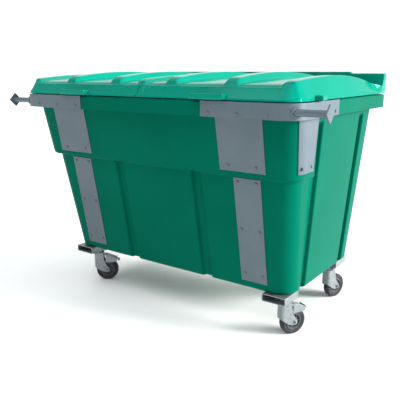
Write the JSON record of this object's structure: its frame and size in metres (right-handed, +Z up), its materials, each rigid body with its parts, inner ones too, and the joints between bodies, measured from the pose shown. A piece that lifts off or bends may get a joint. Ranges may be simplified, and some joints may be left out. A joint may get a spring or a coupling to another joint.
{
  "type": "four-wheel waste container",
  "caption": "Wheeled waste container: tapered moulded tub, two hinged half lids, steel corner plates with lifting trunnions, box brackets and swivel casters.",
  "frame": {"origin": "on the floor under the centre of the overall box", "axes": "+X towards the right-hand trunnion seen from the front, +Y towards the lid hinges at the back, +Z up"},
  "size_m": [1.7866, 1.036, 1.1882],
  "materials": {
    "green_plastic": "glossy moulded polyethylene",
    "painted_steel": "satin grey paint",
    "zinc_plated_steel": "zinc plated, slightly dull",
    "rubber": "matt",
    "grey_plastic": "matt"
  },
  "bodies": {
    "root": {"tub": "green_plastic", "rim_plate_right": "painted_steel", "upper_plate_right": "painted_steel", "lower_plate_right": "painted_steel", "side_plate_right": "painted_steel", "trunnion_bar_right": "painted_steel", "trunnion_end_right": "painted_steel", "hinge_bracket_right_1": "painted_steel", "hinge_bracket_right_2": "painted_steel", "hinge_rod_right": "zinc_plated_steel", "rim_plate_left": "painted_steel", "upper_plate_left": "painted_steel", "lower_plate_left": "painted_steel", "side_plate_left": "painted_steel", "trunnion_bar_left": "painted_steel", "trunnion_end_left": "painted_steel", "hinge_bracket_left_1": "painted_steel", "hinge_bracket_left_2": "painted_steel", "hinge_rod_left": "zinc_plated_steel", "caster_bracket_front_right": "zinc_plated_steel", "caster_plate_front_right": "zinc_plated_steel", "swivel_race_front_right": "zinc_plated_steel", "caster_bracket_front_left": "zinc_plated_steel", "caster_plate_front_left": "zinc_plated_steel", "swivel_race_front_left": "zinc_plated_steel", "caster_bracket_rear_right": "zinc_plated_steel", "caster_plate_rear_right": "zinc_plated_steel", "swivel_race_rear_right": "zinc_plated_steel", "caster_bracket_rear_left": "zinc_plated_steel", "caster_plate_rear_left": "zinc_plated_steel", "swivel_race_rear_left": "zinc_plated_steel"},
    "lid_right_body": {"lid_right": "green_plastic", "lid_lug_right_1": "green_plastic", "lid_lug_right_2": "green_plastic"},
    "lid_left_body": {"lid_left": "green_plastic", "lid_lug_left_1": "green_plastic", "lid_lug_left_2": "green_plastic"},
    "fork_front_right_body": {"fork_front_right": "zinc_plated_steel", "axle_front_right": "zinc_plated_steel"},
    "wheel_front_right_body": {"tyre_front_right": "rubber", "hub_front_right": "grey_plastic"},
    "pedal_front_right_body": {"brake_pedal_front_right": "zinc_plated_steel", "pedal_cheek_front_right_1": "zinc_plated_steel", "pedal_cheek_front_right_2": "zinc_plated_steel"},
    "fork_front_left_body": {"fork_front_left": "zinc_plated_steel", "axle_front_left": "zinc_plated_steel"},
    "wheel_front_left_body": {"tyre_front_left": "rubber", "hub_front_left": "grey_plastic"},
    "pedal_front_left_body": {"brake_pedal_front_left": "zinc_plated_steel", "pedal_cheek_front_left_1": "zinc_plated_steel", "pedal_cheek_front_left_2": "zinc_plated_steel"},
    "fork_rear_right_body": {"fork_rear_right": "zinc_plated_steel", "axle_rear_right": "zinc_plated_steel"},
    "wheel_rear_right_body": {"tyre_rear_right": "rubber", "hub_rear_right": "grey_plastic"},
    "fork_rear_left_body": {"fork_rear_left": "zinc_plated_steel", "axle_rear_left": "zinc_plated_steel"},
    "wheel_rear_left_body": {"tyre_rear_left": "rubber", "hub_rear_left": "grey_plastic"}
  },
  "joints": [
    {"name": "lid_right_hinge", "type": "hinge", "parent": "root", "child": "lid_right_body", "pos_m": [0.39, 0.507, 1.095], "axis": [-1, 0, 0], "range_deg": [0, 190]},
    {"name": "lid_left_hinge", "type": "hinge", "parent": "root", "child": "lid_left_body", "pos_m": [-0.39, 0.507, 1.095], "axis": [-1, 0, 0], "range_deg": [0, 190]},
    {"name": "swivel_front_right", "type": "hinge", "parent": "root", "child": "fork_front_right_body", "pos_m": [0.603, -0.202, 0.18], "axis": [0, 0, 1], "continuous": true},
    {"name": "wheel_front_right_spin", "type": "hinge", "parent": "fork_front_right_body", "child": "wheel_front_right_body", "pos_m": [0.62882, -0.15344, 0.06319], "axis": [-0.8829, 0.4695, 0], "continuous": true},
    {"name": "brake_pedal_front_right_press", "type": "hinge", "parent": "fork_front_right_body", "child": "pedal_front_right_body", "pos_m": [0.62178, -0.16668, 0.15], "axis": [-0.8829, 0.4695, 0], "range_deg": [0, 6], "stiffness_Nm_per_rad": 1.5},
    {"name": "swivel_front_left", "type": "hinge", "parent": "root", "child": "fork_front_left_body", "pos_m": [-0.603, -0.202, 0.18], "axis": [0, 0, 1], "continuous": true},
    {"name": "wheel_front_left_spin", "type": "hinge", "parent": "fork_front_left_body", "child": "wheel_front_left_body", "pos_m": [-0.56087, -0.16665, 0.06319], "axis": [-0.6428, 0.766, 0], "continuous": true},
    {"name": "brake_pedal_front_left_press", "type": "hinge", "parent": "fork_front_left_body", "child": "pedal_front_left_body", "pos_m": [-0.57236, -0.17629, 0.15], "axis": [-0.6428, 0.766, 0], "range_deg": [0, 6], "stiffness_Nm_per_rad": 1.5},
    {"name": "swivel_rear_right", "type": "hinge", "parent": "root", "child": "fork_rear_right_body", "pos_m": [0.603, 0.313, 0.18], "axis": [0, 0, 1], "continuous": true},
    {"name": "wheel_rear_right_spin", "type": "hinge", "parent": "fork_rear_right_body", "child": "wheel_rear_right_body", "pos_m": [0.62091, 0.365, 0.06319], "axis": [-0.9455, 0.3256, 0], "continuous": true},
    {"name": "swivel_rear_left", "type": "hinge", "parent": "root", "child": "fork_rear_left_body", "pos_m": [-0.603, 0.313, 0.18], "axis": [0, 0, 1], "continuous": true},
    {"name": "wheel_rear_left_spin", "type": "hinge", "parent": "fork_rear_left_body", "child": "wheel_rear_left_body", "pos_m": [-0.58876, 0.36613, 0.06319], "axis": [-0.9659, 0.2588, 0], "continuous": true}
  ]
}
